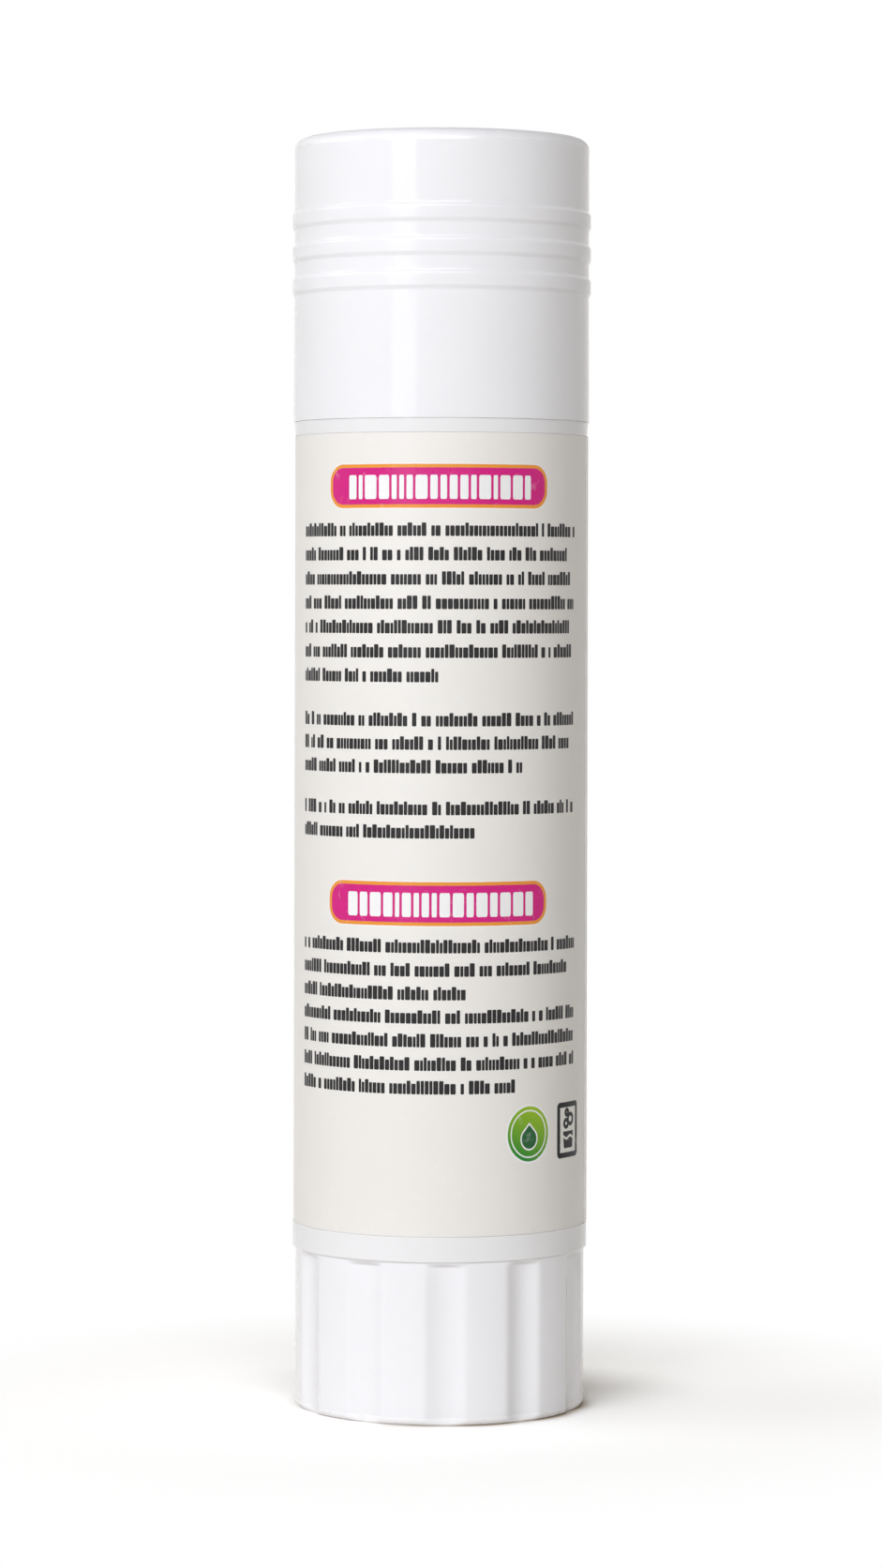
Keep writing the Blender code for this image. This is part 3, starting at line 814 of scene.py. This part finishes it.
def labelMaterial(p, ink, look):
    material, tree, shader = newMaterial("printedFilm", ink["paper"])
    point = objectPoint(tree)
    x, y, z = split(tree, point)
    across = calc(tree, "ARCTAN2", x, y * -1) * p["radius"]
    up = z / mm
    wobble = noise(tree, point, 1800.0) * p["wobble"] - p["wobble"] / 2
    tone = useGroup(tree, cloudyTone, Size=75.0, Contrast=1.4)
    colour = blendColour(tree, tone, ink["paper"], ink["paperDeep"])

    def filled(shape):
        return shape.ramp(p["soft"], -p["soft"])

    def printed(shape, newInk):
        return blendColour(tree, filled(shape), colour, newInk)

    pills = [roundBox(across - p["pillAcross"], up - height, p["pillHalfWidth"], p["pillHalfHeight"],
                      p["pillCorner"]) for height in p["pillHeights"]]
    pill = pills[0].smaller(pills[1]) + wobble
    colour = printed(pill - p["halo"], ink["white"])
    colour = printed(pill, ink["orange"])
    mottled = blendColour(tree, noise(tree, point, 500.0, 3.0), ink["magenta"], ink["magentaDeep"])
    colour = printed(pill + p["border"], mottled)

    sealX, sealY = (across - p["seal"][0]) * p["sealSquash"], up - p["seal"][1]
    disc = lengthOf(sealX, sealY) - p["sealRadius"] + wobble
    shadeUp = (sealY + sealX * 0.4).ramp(p["sealRadius"], -p["sealRadius"])
    bulbY, diagonal, half = sealY + p["dropLow"], sqrt(0.5), p["dropRadius"] / 2
    tip = roundBox((sealX + bulbY) * diagonal - half, (bulbY - sealX) * diagonal - half, half, half, 0.05)
    drop = (lengthOf(sealX, bulbY) - p["dropRadius"]).smaller(tip)
    ringInset, ringHalf = p["sealRing"]
    colour = printed(disc - p["sealHalo"], ink["white"])
    colour = printed(disc, blendColour(tree, shadeUp, ink["green"], ink["greenDeep"]))
    colour = printed((disc + ringInset).size() - ringHalf, ink["white"])
    colour = printed(drop, ink["white"])
    colour = printed(drop + p["dropLine"], ink["leaf"])

    badgeX, badgeY = across - p["badge"][0], up - p["badge"][1]
    frameBox = roundBox(badgeX, badgeY, *p["badgeHalf"], p["badgeCorner"])
    slant = badgeX / (badgeY * p["tubTaper"] + 1.0)
    tub = roundBox(slant, badgeY + p["tubBelow"], *p["tubHalf"], p["tubCorner"])
    pace, swing = p["rippleWave"]
    ripple = (badgeY - p["rippleAt"] - (badgeX * pace).sine() * swing).size() - p["rippleHalf"]
    badge = (frameBox + p["badgeStroke"]).size() - p["badgeStroke"]
    badge = badge.smaller(tub.larger(badgeY - p["tubRim"]).larger(ripple * -1))
    for placeX, placeY, radius in p["bubbles"]:
        bubble = (lengthOf(badgeX - placeX, badgeY - placeY) - radius).size() - p["bubbleHalf"]
        badge = badge.smaller(bubble)
    badge = badge + wobble
    colour = printed(badge, ink["black"])

    inked = filled(pill - p["halo"]).larger(filled(disc)).larger(filled(badge))
    scratch = useGroup(tree, hairScratches, Amount=look["scratches"], Fineness=1.2)
    rub = useGroup(tree, rubbedEdges, Reach=look["rub"], Breakup=700.0)
    colour = blendColour(tree, rub * look["rubShow"] + scratch * look["scratchShow"], colour, ink["white"])
    (swellSize, swellHeight), (fibreSize, fibreHeight) = look["swell"], look["fibre"]
    grainSize, grainHeight = look["grain"]
    swell = noise(tree, point, swellSize, 2.0, 0.5, (1, 1, 0.3))
    fibre = noise(tree, point, fibreSize, 3.0, 0.6, (2.2, 2.2, 0.22))
    grain = noise(tree, point, grainSize, 2.0, 0.6)
    height = (swell * swellHeight + fibre * fibreHeight + grain * grainHeight
              + inked * look["inkHeight"] - scratch * look["scratchSink"])
    shine = (tone * look["toneDull"] + look["roughness"] - inked * look["inkShine"]
             + scratch * look["scratchDull"] + fibre * look["fibreDull"])
    surface(tree, shader, colour, shine, height, look["relief"])
    plug(tree, look["sheen"] - filled(badge) * look["badgeDull"], shader.inputs["Specular IOR Level"])
    return material


printedFilm = labelMaterial(printLayout, inkColours, filmLook)


def makeLabel(s):
    inside, thick = s["inside"], s["thickness"]
    lift = thick + s["play"]
    lapTurn, rampTurn = s["lap"] / inside, s["ramp"] / inside
    (low, high), edge = labelSpan, s["edge"]
    section = [(0, low + edge), (0, high - edge), (edge, high), (thick - edge, high),
               (thick, high - edge), (thick, low + edge), (thick - edge, low), (edge, low)]
    marks = [0, 0, 1, 1, 0.4, 0.4, 1, 1]
    # turns are (angle wound so far, share of the climb on to the lap)
    plainTurn, lastTurn = 2 * pi - rampTurn, rampTurn + lapTurn
    turns = [(plainTurn * i / s["steps"], 0.0) for i in range(s["steps"])]
    for i in range(s["rampSteps"] + 1):
        onward = lastTurn * i / s["rampSteps"]
        turns.append((plainTurn + onward, min(1.0, onward / rampTurn)))
    verts, edgeMarks = [], []
    for turn, climb in turns:
        rise = lift * (3 * climb ** 2 - 2 * climb ** 3)
        angle = s["seam"] + lapTurn - turn - pi / 2
        atEnd = turn in (turns[0][0], turns[-1][0])
        for (depth, height), mark in zip(section, marks):
            radius = inside + rise + depth
            verts.append((radius * cos(angle), radius * sin(angle), height))
            edgeMarks.append(1.0 if atEnd else mark)
    count = len(section)
    faces = [list(range(count))]
    for i in range(len(turns) - 1):
        for j in range(count):
            k = (j + 1) % count
            faces.append([i * count + j, i * count + k, (i + 1) * count + k, (i + 1) * count + j])
    faces.append([(len(turns) - 1) * count + j for j in reversed(range(count))])
    mesh = meshOf("label_wrap", verts, faces)
    addMarks(mesh, "edge", edgeMarks)
    work = bmesh.new()
    work.from_mesh(mesh)
    bmesh.ops.recalc_face_normals(work, faces=work.faces)
    work.to_mesh(mesh)
    work.free()
    label = newPiece("label_wrap", mesh, printedFilm)
    fit(label, "label", "barrel", 30)


makeLabel(labelSizes)


# Rows of plain blocks stand where the wrap has its small print, laid and bent round it by Geometry Nodes

wrapRadius = 14.935
blockCorner = 0.12   # as a share of a block's width

blockRows = {
    "start": -17.25,
    "width": 34.2,
    "paragraphs": (   # height of the first row, pitch, rows, last row's length as a share of the width
        (88.9, 2.42, 7, 0.5), (70.0, 2.33, 3, 0.76), (61.2, 2.33, 2, 0.61),
        (47.5, 2.335, 3, 0.58), (40.5, 2.335, 2, 0.99), (35.83, 2.335, 2, 0.74)),
    "raggedSteps": (0.0, 0.04, 0.02),
    "headingStart": -9.9,
    "headingWidth": 19.9,
    "headingDrop": 0.1,
}

smallBlocks = {
    "Blocks per Row": 90, "Narrowest": 0.28, "Widest": 0.54, "Gap": 0.07, "Word Gap": 0.42,
    "Word Gap Chance": 0.17, "Low Height": 1.05, "Tall Height": 1.34, "Tall Chance": 0.34,
    "Wrap Radius": wrapRadius, "Seed": 4}
headingBlocks = {
    "Blocks per Row": 26, "Narrowest": 0.45, "Widest": 1.35, "Gap": 0.26, "Word Gap": 0.0,
    "Word Gap Chance": 0.0, "Low Height": 2.4, "Tall Height": 2.4, "Tall Chance": 0.0,
    "Wrap Radius": wrapRadius, "Seed": 9}


inkLook = {
    "patchSize": 2500.0,
    "patchShow": 0.5,
    "patchDull": 0.1,
    "scratches": 0.5,
    "scratchShow": 0.3,
    "roughness": 0.3,
    "grainSize": 5000.0,
    "relief": 3 * um,
    "sheen": 0.25,
}


def inkMaterial(name, colour, faded, look):
    material, tree, shader = newMaterial(name, colour)
    point = objectPoint(tree)
    worn = noise(tree, point, look["patchSize"], 3.0, 0.6).ramp(0.35, 0.75)
    scratch = useGroup(tree, hairScratches, Amount=look["scratches"], Fineness=1.2)
    mixed = blendColour(tree, worn * look["patchShow"] + scratch * look["scratchShow"], colour, faded)
    surface(tree, shader, mixed, worn * look["patchDull"] + look["roughness"],
            noise(tree, point, look["grainSize"]), look["relief"])
    plug(tree, look["sheen"], shader.inputs["Specular IOR Level"])
    return material


blackInk = inkMaterial("blackInk", inkColours["black"], (0.035, 0.033, 0.034), inkLook)
whiteInk = inkMaterial("whiteInk", inkColours["white"], (0.86, 0.855, 0.86), inkLook)


def makeBlockTree(material, name, values):
    tree, given, result = newGroup(name, "GeometryNodeTree", "Geometry", values)

    def chance(low, high, offset):
        node = addNode(tree, "FunctionNodeRandomValue", {"data_type": "FLOAT"})
        for slot, number in ((2, low), (3, high), (8, given["Seed"] + offset)):
            plug(tree, number, node.inputs[slot])
        return Field(tree, node.outputs[1])

    def happens(label, offset):
        # 1 where a draw falls below the chance, otherwise 0
        return (chance(0.0, 1.0, offset) - given[label]).ramp(1e-4, -1e-4)

    def stored(geometry, field, label):
        return addNode(tree, "GeometryNodeStoreNamedAttribute", {"data_type": "FLOAT", "domain": "POINT"},
                       Geometry=geometry, Name=label, Value=field)

    def named(label, kind="FLOAT"):
        node = addNode(tree, "GeometryNodeInputNamedAttribute", {"data_type": kind}, Name=label)
        return Field(tree, node.outputs[0])

    points = addNode(tree, "GeometryNodeMeshToPoints", Mesh=given["Geometry"])
    copies = addNode(tree, "GeometryNodeDuplicateElements", {"domain": "POINT"},
                     Geometry=points, Amount=given["Blocks per Row"])
    wordGap = happens("Word Gap Chance", 1)
    width = chance(given["Narrowest"], given["Widest"], 0)
    geometry = stored(copies, width, "blockWidth")
    geometry = stored(geometry, happens("Tall Chance", 2), "tall")
    step = named("blockWidth") + given["Gap"] + wordGap * given["Word Gap"]
    run = addNode(tree, "GeometryNodeAccumulateField", {"data_type": "FLOAT", "domain": "POINT"},
                  Value=step, Group_ID=named("row", "INT"))
    geometry = stored(geometry, out(tree, run, "Trailing") + named("blockWidth") * 0.5, "along")
    overrun = addNode(tree, "FunctionNodeCompare", {"data_type": "FLOAT", "operation": "GREATER_THAN"},
                      A=named("along") + named("blockWidth") * 0.5, B=named("rowLength"))
    kept = addNode(tree, "GeometryNodeDeleteGeometry", {"domain": "POINT"}, Geometry=geometry,
                   Selection=overrun)
    height = given["Low Height"] + named("tall") * (given["Tall Height"] - given["Low Height"])
    rowStart, rowHeight = split(tree, addNode(tree, "GeometryNodeInputPosition"))[::2]
    centre = join(tree, rowStart + named("along"), 0.0, rowHeight + (height - given["Low Height"]) * 0.5)
    lined = addNode(tree, "GeometryNodeSetPosition", Geometry=kept, Position=centre)
    outline = addNode(tree, "GeometryNodeCurvePrimitiveQuadrilateral", {"mode": "RECTANGLE"},
                      Width=1.0, Height=1.0)
    rounded = addNode(tree, "GeometryNodeFilletCurve", {"mode": "POLY"}, Curve=outline,
                      Count=2, Radius=blockCorner)
    flat = addNode(tree, "GeometryNodeFillCurve", {"mode": "NGONS"}, Curve=rounded)
    upright = addNode(tree, "GeometryNodeTransform", Geometry=flat, Rotation=(pi / 2, 0, 0))
    size = join(tree, named("blockWidth"), 1.0, height)
    laid = addNode(tree, "GeometryNodeInstanceOnPoints", Points=lined, Instance=upright, Scale=size)
    realize = addNode(tree, "GeometryNodeRealizeInstances", Geometry=laid)
    x, z = split(tree, addNode(tree, "GeometryNodeInputPosition"))[::2]
    turn = x / given["Wrap Radius"]
    wrapped = join(tree, turn.sine() * given["Wrap Radius"] * mm, turn.cosine() * given["Wrap Radius"] * -mm,
                   z * mm)
    bent = addNode(tree, "GeometryNodeSetPosition", Geometry=realize, Position=wrapped)
    paint = addNode(tree, "GeometryNodeSetMaterial", Geometry=bent, Material=material)
    plug(tree, paint, result)
    return tree


def makePrint(name, rows, values, material):
    # rows are (start across, height, length) in mm
    mesh = meshOf(name, [(start, 0, height) for start, height, length in rows], [])
    addMarks(mesh, "rowLength", [length for start, height, length in rows])
    addMarks(mesh, "row", list(range(len(rows))), "INT")
    piece = newPiece(name, mesh)
    useTree(piece, makeBlockTree(material, name + "Tree", values), values)
    for label in ("rowLength", "row", "blockWidth", "tall", "along"):
        if label in piece.data.attributes:
            piece.data.attributes.remove(piece.data.attributes[label])
    work = bmesh.new()
    work.from_mesh(piece.data)
    for face in work.faces:
        middle = face.calc_center_median()
        if face.normal.x * middle.x + face.normal.y * middle.y < 0:
            face.normal_flip()
    work.to_mesh(piece.data)
    work.free()
    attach(piece, "barrel")
    print(name, len(piece.data.polygons), "blocks")


def rowsOf(b):
    for firstHeight, pitch, rowCount, lastShare in b["paragraphs"]:
        for i in range(rowCount):
            share = lastShare if i == rowCount - 1 else 1.0 - b["raggedSteps"][i % 3]
            yield b["start"], firstHeight - i * pitch, b["width"] * share


headingRows = [(blockRows["headingStart"], height - blockRows["headingDrop"], blockRows["headingWidth"])
               for height in printLayout["pillHeights"]]
makePrint("small_print", list(rowsOf(blockRows)), smallBlocks, blackInk)
makePrint("heading_print", headingRows, headingBlocks, whiteInk)


# Soap bar

soapSizes = sizesInMm(
    {"sides": 160},
    domeInset=3,
    domeFall=(0.02, 0.4),
    domeRounding=4,
    tipRounding=1.7,
    skirt=30.3,
    plugRadius=11.1,
    bore=4.1,
    boreTop=110.6,
    nutClear=5.4,
    slotRadius=11.9,
    slotWidth=1.6,
    slotOverrun=1,
)


def makeSoap(s):
    radius, top, bottom, over = soapHigh.x, soapHigh.z, soapLow.z, s["slotOverrun"]
    innerFall, outerFall = s["domeFall"]
    corners = [(0, top, 0),
               (radius - s["domeInset"], top - innerFall, s["domeRounding"]),
               (radius, top - outerFall, s["tipRounding"]),
               (radius, s["skirt"], 0.15 * mm),
               (s["plugRadius"], s["skirt"], 0.15 * mm),
               (s["plugRadius"], bottom, 0.3 * mm),
               (s["nutClear"], bottom, 0.2 * mm),
               (s["nutClear"], s["skirt"], 0.2 * mm),
               (s["bore"], s["skirt"], 0.1 * mm),
               (s["bore"], s["boreTop"], 0.3 * mm),
               (0, s["boreTop"], 0)]
    soap = spin("soap_bar", roundProfile(corners), s["sides"], soapWax)
    grooves = slabs("grooves", [(angle, s["slotRadius"], radius + over, s["slotWidth"],
                                 s["skirt"] - over, top + over) for angle in evenly(barrelSizes["ribCount"])])
    carve(soap, grooves, "DIFFERENCE")
    fit(soap, "stain_stick", "carriage")


makeSoap(soapSizes)


# Hidden working pieces keep their CAD shape

for nodeName in ("spindle", "elevator"):
    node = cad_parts[nodeName]
    node.data.materials.clear()
    node.data.materials.append(innerPlastic)


# Stage: a white floor that keeps the soft shadow, which is partly real and partly painted shadow, and a white
# surround

stageLook = {
    "floorSize": 3.0,
    "floorShade": (0.92, 0.92, 0.9108),
    "floorGlow": 0.42,
    # bounce keys: for light reaching the stick the floor is a darker warm diffuse that glows round the foot,
    # a painted bounce light
    "bounceShade": (0.8, 0.77, 0.715),
    "bounceGlow": 0.22,
    "footRadius": 14.0 * mm,
    "footFade": 9.0 * mm,
    "fadeStart": 0.03,
    "fadeEnd": 0.069,
    # shadow keys: occlusion towards the lamps cuts the floor's glow, a painted shadow
    "shadowReach": 16 * mm,
    "shadowOpen": (0.5, 0.92),
    "towardLamps": (-0.3, -0.86, 0.4),
    # contact keys: a painted contact shade turns the floor colour brown where occlusion is high, weaker on
    # the left
    "contactReach": 2.3 * mm,
    "contactOpen": (0.35, 0.85),
    "paintedContactShade": (0.48, 0.37, 0.26),
    "contactFrom": -11 * mm,
    "contactTo": 5 * mm,
    "contactEased": 0.9,
    "ambient": (1.0, 0.91, 0.79),
    "ambientStrength": 0.04,
    "backStrength": 2.1,
    "backFrom": (0.3, 1.0),
    "backLevel": (0.7, 0.1),
}


def emptyTree(owner):
    owner.use_nodes = True
    owner.node_tree.nodes.clear()
    return owner.node_tree


def seenRays(tree):
    # 1 for what the camera sees, also in mirrors and through glass, and 0 for diffuse light
    path = addNode(tree, "ShaderNodeLightPath")
    camera, glossy = out(tree, path, "Is Camera Ray"), out(tree, path, "Is Glossy Ray")
    return camera.larger(glossy).larger(out(tree, path, "Is Transmission Ray"))


def floorMaterial(look):
    material = bpy.data.materials.new("floorWhite")
    tree = emptyTree(material)
    x, y = split(tree, objectPoint(tree))[:2]
    fromAxis = lengthOf(x, y)
    far = fromAxis.ramp(look["fadeStart"], look["fadeEnd"], smooth=True)
    beside = fromAxis.ramp(look["footRadius"], look["footRadius"] + look["footFade"])
    # painted contact shade: the floor colour turns brown where the foot occludes it, mostly on the right side
    touch = addNode(tree, "ShaderNodeAmbientOcclusion", {"samples": 8}, Distance=look["contactReach"])
    leftSide = x.ramp(look["contactFrom"], look["contactTo"], 1.0, 0.0, smooth=True)
    clear = out(tree, touch, "AO").ramp(*look["contactOpen"]).larger(leftSide * look["contactEased"])
    shade = blendColour(tree, clear, look["paintedContactShade"], look["floorShade"])
    painted = addNode(tree, "ShaderNodeBsdfDiffuse", Color=shade)
    # painted shadow: the floor's glow is cut where occlusion towards the lamps is high, added to the real
    # shadow in the lit diffuse
    under = addNode(tree, "ShaderNodeAmbientOcclusion", {"samples": 8}, Distance=look["shadowReach"],
                    Normal=join(tree, *look["towardLamps"]))
    lit = out(tree, under, "AO").ramp(*look["shadowOpen"], 0.0, look["floorGlow"])
    glow = addNode(tree, "ShaderNodeEmission", Strength=lit * clear)
    near = feed(tree, "ShaderNodeAddShader", {}, painted, glow)
    white = addNode(tree, "ShaderNodeEmission", Strength=1.0)
    faded = feed(tree, "ShaderNodeMixShader", {}, far, near, white)
    bounceColour = (*look["bounceShade"], 1)
    bounced = addNode(tree, "ShaderNodeBsdfDiffuse", Color=bounceColour)
    # painted bounce light: round the foot the floor glows onto the lower base
    bounceGlow = addNode(tree, "ShaderNodeEmission", Color=bounceColour,
                         Strength=(1.0 - far) * beside * look["bounceGlow"])
    bounce = feed(tree, "ShaderNodeAddShader", {}, bounced, bounceGlow)
    both = feed(tree, "ShaderNodeMixShader", {}, seenRays(tree), bounce, faded)
    addNode(tree, "ShaderNodeOutputMaterial", Surface=both)
    return material


def makeStage(look):
    half = look["floorSize"] / 2
    corners = [(-half, -half, 0), (half, -half, 0), (half, half, 0), (-half, half, 0)]
    floor = newPiece("floor", meshOf("floor", corners, [(0, 1, 2, 3)]), floorMaterial(look))
    world = bpy.data.worlds.new("surround")
    bpy.context.scene.world = world
    tree = emptyTree(world)
    y, z = split(tree, addNode(tree, "ShaderNodeTexCoord").outputs["Generated"])[1:]
    behind = y.ramp(*look["backFrom"], smooth=True) * z.size().ramp(*look["backLevel"])
    soft = addNode(tree, "ShaderNodeBackground", Color=(*look["ambient"], 1),
                   Strength=behind * look["backStrength"] + look["ambientStrength"])
    white = addNode(tree, "ShaderNodeBackground", Color=(1, 1, 1, 1), Strength=1.0)
    both = feed(tree, "ShaderNodeMixShader", {}, seenRays(tree), soft, white)
    addNode(tree, "ShaderNodeOutputWorld", Surface=both)


makeStage(stageLook)


# Lamps: azimuth from the front in degrees, left negative; brightness is the radiance of the panel

windowPlace = {"azimuth": -29, "distance": 1.2, "width": 0.4, "colour": (0.95, 0.965, 1.0)}
fillPlace = {"distance": 1.3, "low": 0.36, "high": 0.85, "width": 0.8, "aim": 0.06}
lamps = {
    "windowPanel": {**windowPlace, "low": 0.234, "high": 0.34, "radiance": 3.4, "aim": 0.28},
    "lowPanel": {**windowPlace, "low": 0.01, "high": 0.224, "radiance": 1.4, "aim": 0.1},
    "keyPanel": {"azimuth": -29, "distance": 1.25, "low": 0.35, "high": 0.75, "width": 0.6,
                 "radiance": 8.0, "colour": (0.95, 0.96, 1.0), "aim": 0.06},
    "highPanel": {"azimuth": -16, "distance": 1.1, "low": 1.1, "high": 1.7, "width": 0.42,
                  "radiance": 3.2, "colour": (0.95, 0.96, 1.0), "aim": 0.06},
    "frontFill": {**fillPlace, "azimuth": 6, "radiance": 6.2, "colour": (0.97, 0.975, 1.0)},
    "leftFill": {**fillPlace, "azimuth": -90, "radiance": 3.7, "colour": (0.97, 0.975, 1.0)},
    "rightFill": {**fillPlace, "azimuth": 78, "radiance": 0.2, "colour": (1.0, 0.86, 0.62)},
}


def addLamp(name, s):
    width, height = s["width"], s["high"] - s["low"]
    data = bpy.data.lights.new(name, "AREA")
    data.shape = "RECTANGLE"
    data.size, data.size_y = width, height
    data.energy = s["radiance"] * pi * width * height
    data.color = s["colour"]
    lamp = addObject(name, data)
    azimuth, middle = radians(s["azimuth"]), (s["low"] + s["high"]) / 2
    lamp.location = (sin(azimuth) * s["distance"], -cos(azimuth) * s["distance"], middle)
    aim = Vector((0, 0, s["aim"])) - lamp.location
    lamp.rotation_euler = aim.to_track_quat("-Z", "Y").to_euler()


for lampName, lampSizes in lamps.items():
    addLamp(lampName, lampSizes)


# Camera

cameraLook = {
    "distance": 0.5,
    "height": 0.082,
    "lens": 112.3,
    "sensor": 36.0,
    "shiftUp": -0.1172,
    "roll": 0.145,
}


def makeCamera(s):
    data = bpy.data.cameras.new("camera")
    data.lens, data.sensor_width, data.shift_y = s["lens"], s["sensor"], s["shiftUp"]
    data.clip_start = 0.01
    camera = addObject("camera", data)
    turn = Matrix.Rotation(radians(90), 4, "X") @ Matrix.Rotation(radians(s["roll"]), 4, "Z")
    camera.matrix_world = Matrix.Translation((0, -s["distance"], s["height"])) @ turn
    bpy.context.scene.camera = camera


makeCamera(cameraLook)
bpy.context.scene.view_settings.view_transform = "Standard"
print("stage, lamps and camera ready")
